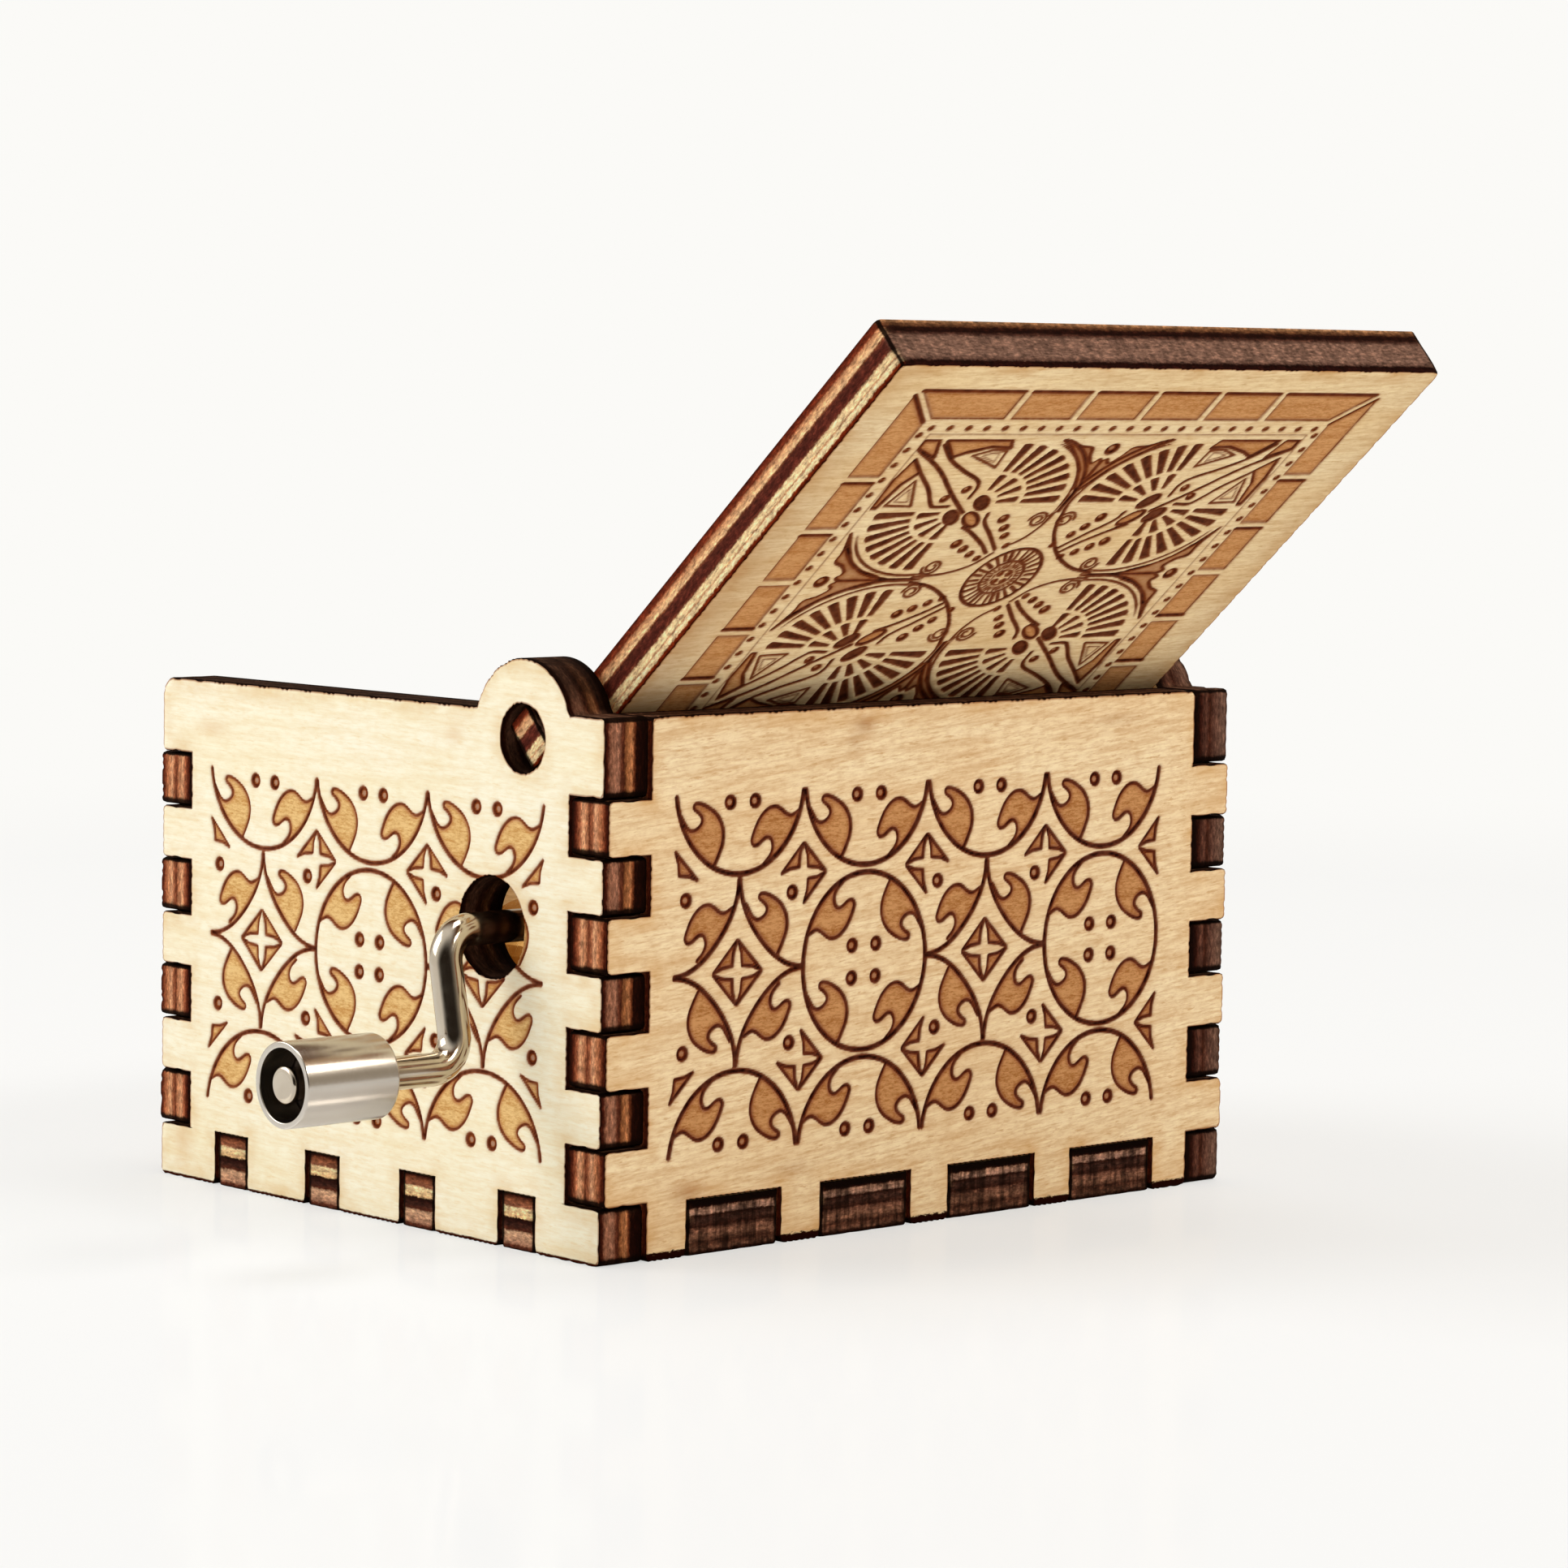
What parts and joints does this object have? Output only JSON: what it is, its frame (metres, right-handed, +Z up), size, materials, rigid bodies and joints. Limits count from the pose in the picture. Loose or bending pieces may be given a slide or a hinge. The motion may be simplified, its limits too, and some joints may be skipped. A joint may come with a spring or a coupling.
{
  "type": "hand crank music box",
  "caption": "Finger-jointed plywood music box with a pegged lid standing open, a bent steel crank with a turning knob, and a pinned-drum movement with comb inside.",
  "frame": {"origin": "middle of the case's underside, on the surface that the box stands on", "axes": "+X towards the crank, +Y towards the back panel under the hinge, where the open lid leans, +Z up"},
  "size_m": [0.084, 0.0777, 0.0668],
  "materials": {
    "plywood_pale": "sanded basswood plywood, laser cut and engraved, unvarnished",
    "plywood": "sanded basswood plywood, laser cut and engraved, unvarnished",
    "polished_steel": "polished, nickel plated",
    "satin_aluminium": "turned, satin",
    "cast_zinc": "die-cast, plated, slightly dull",
    "spring_steel": "ground along its length",
    "brass": "turned, bright"
  },
  "bodies": {
    "case": {"crank_side_panel": "plywood_pale", "far_side_panel": "plywood", "back_panel": "plywood", "front_panel": "plywood", "bottom_panel": "plywood", "bedplate": "cast_zinc", "crank_bracket": "cast_zinc", "comb": "spring_steel", "comb_screw_1": "polished_steel", "comb_screw_2": "polished_steel", "bracket_screw_1": "polished_steel", "bracket_screw_2": "polished_steel", "fixing_screw_1": "polished_steel", "fixing_screw_2": "polished_steel"},
    "lid_body": {"lid": "plywood"},
    "crank": {"crank_rod": "polished_steel", "worm_shaft": "polished_steel"},
    "knob": {"knob_sleeve": "satin_aluminium"},
    "drum_body": {"drum": "brass", "drum_wheel": "brass", "drum_cap": "brass", "drum_arbor": "polished_steel"}
  },
  "joints": [
    {"name": "lid_hinge", "type": "hinge", "parent": "case", "child": "lid_body", "pos_m": [0, 0.0173, 0.0368], "axis": [1, 0, 0], "range_deg": [0, 138.6]},
    {"name": "crank_spin", "type": "hinge", "parent": "case", "child": "crank", "pos_m": [0.032, 0.014, 0.023], "axis": [1, 0, 0], "continuous": true},
    {"name": "knob_spin", "type": "hinge", "parent": "crank", "child": "knob", "pos_m": [0.048, 0.01592, 0.01349], "axis": [1, 0, 0], "continuous": true},
    {"name": "drum_spin", "type": "hinge", "parent": "case", "child": "drum_body", "pos_m": [0.009, 0, 0.01522], "axis": [0, 1, 0], "continuous": true}
  ],
  "couplings": [
    {"joint": "drum_spin", "follows": "crank_spin", "ratio": -0.035714}
  ]
}
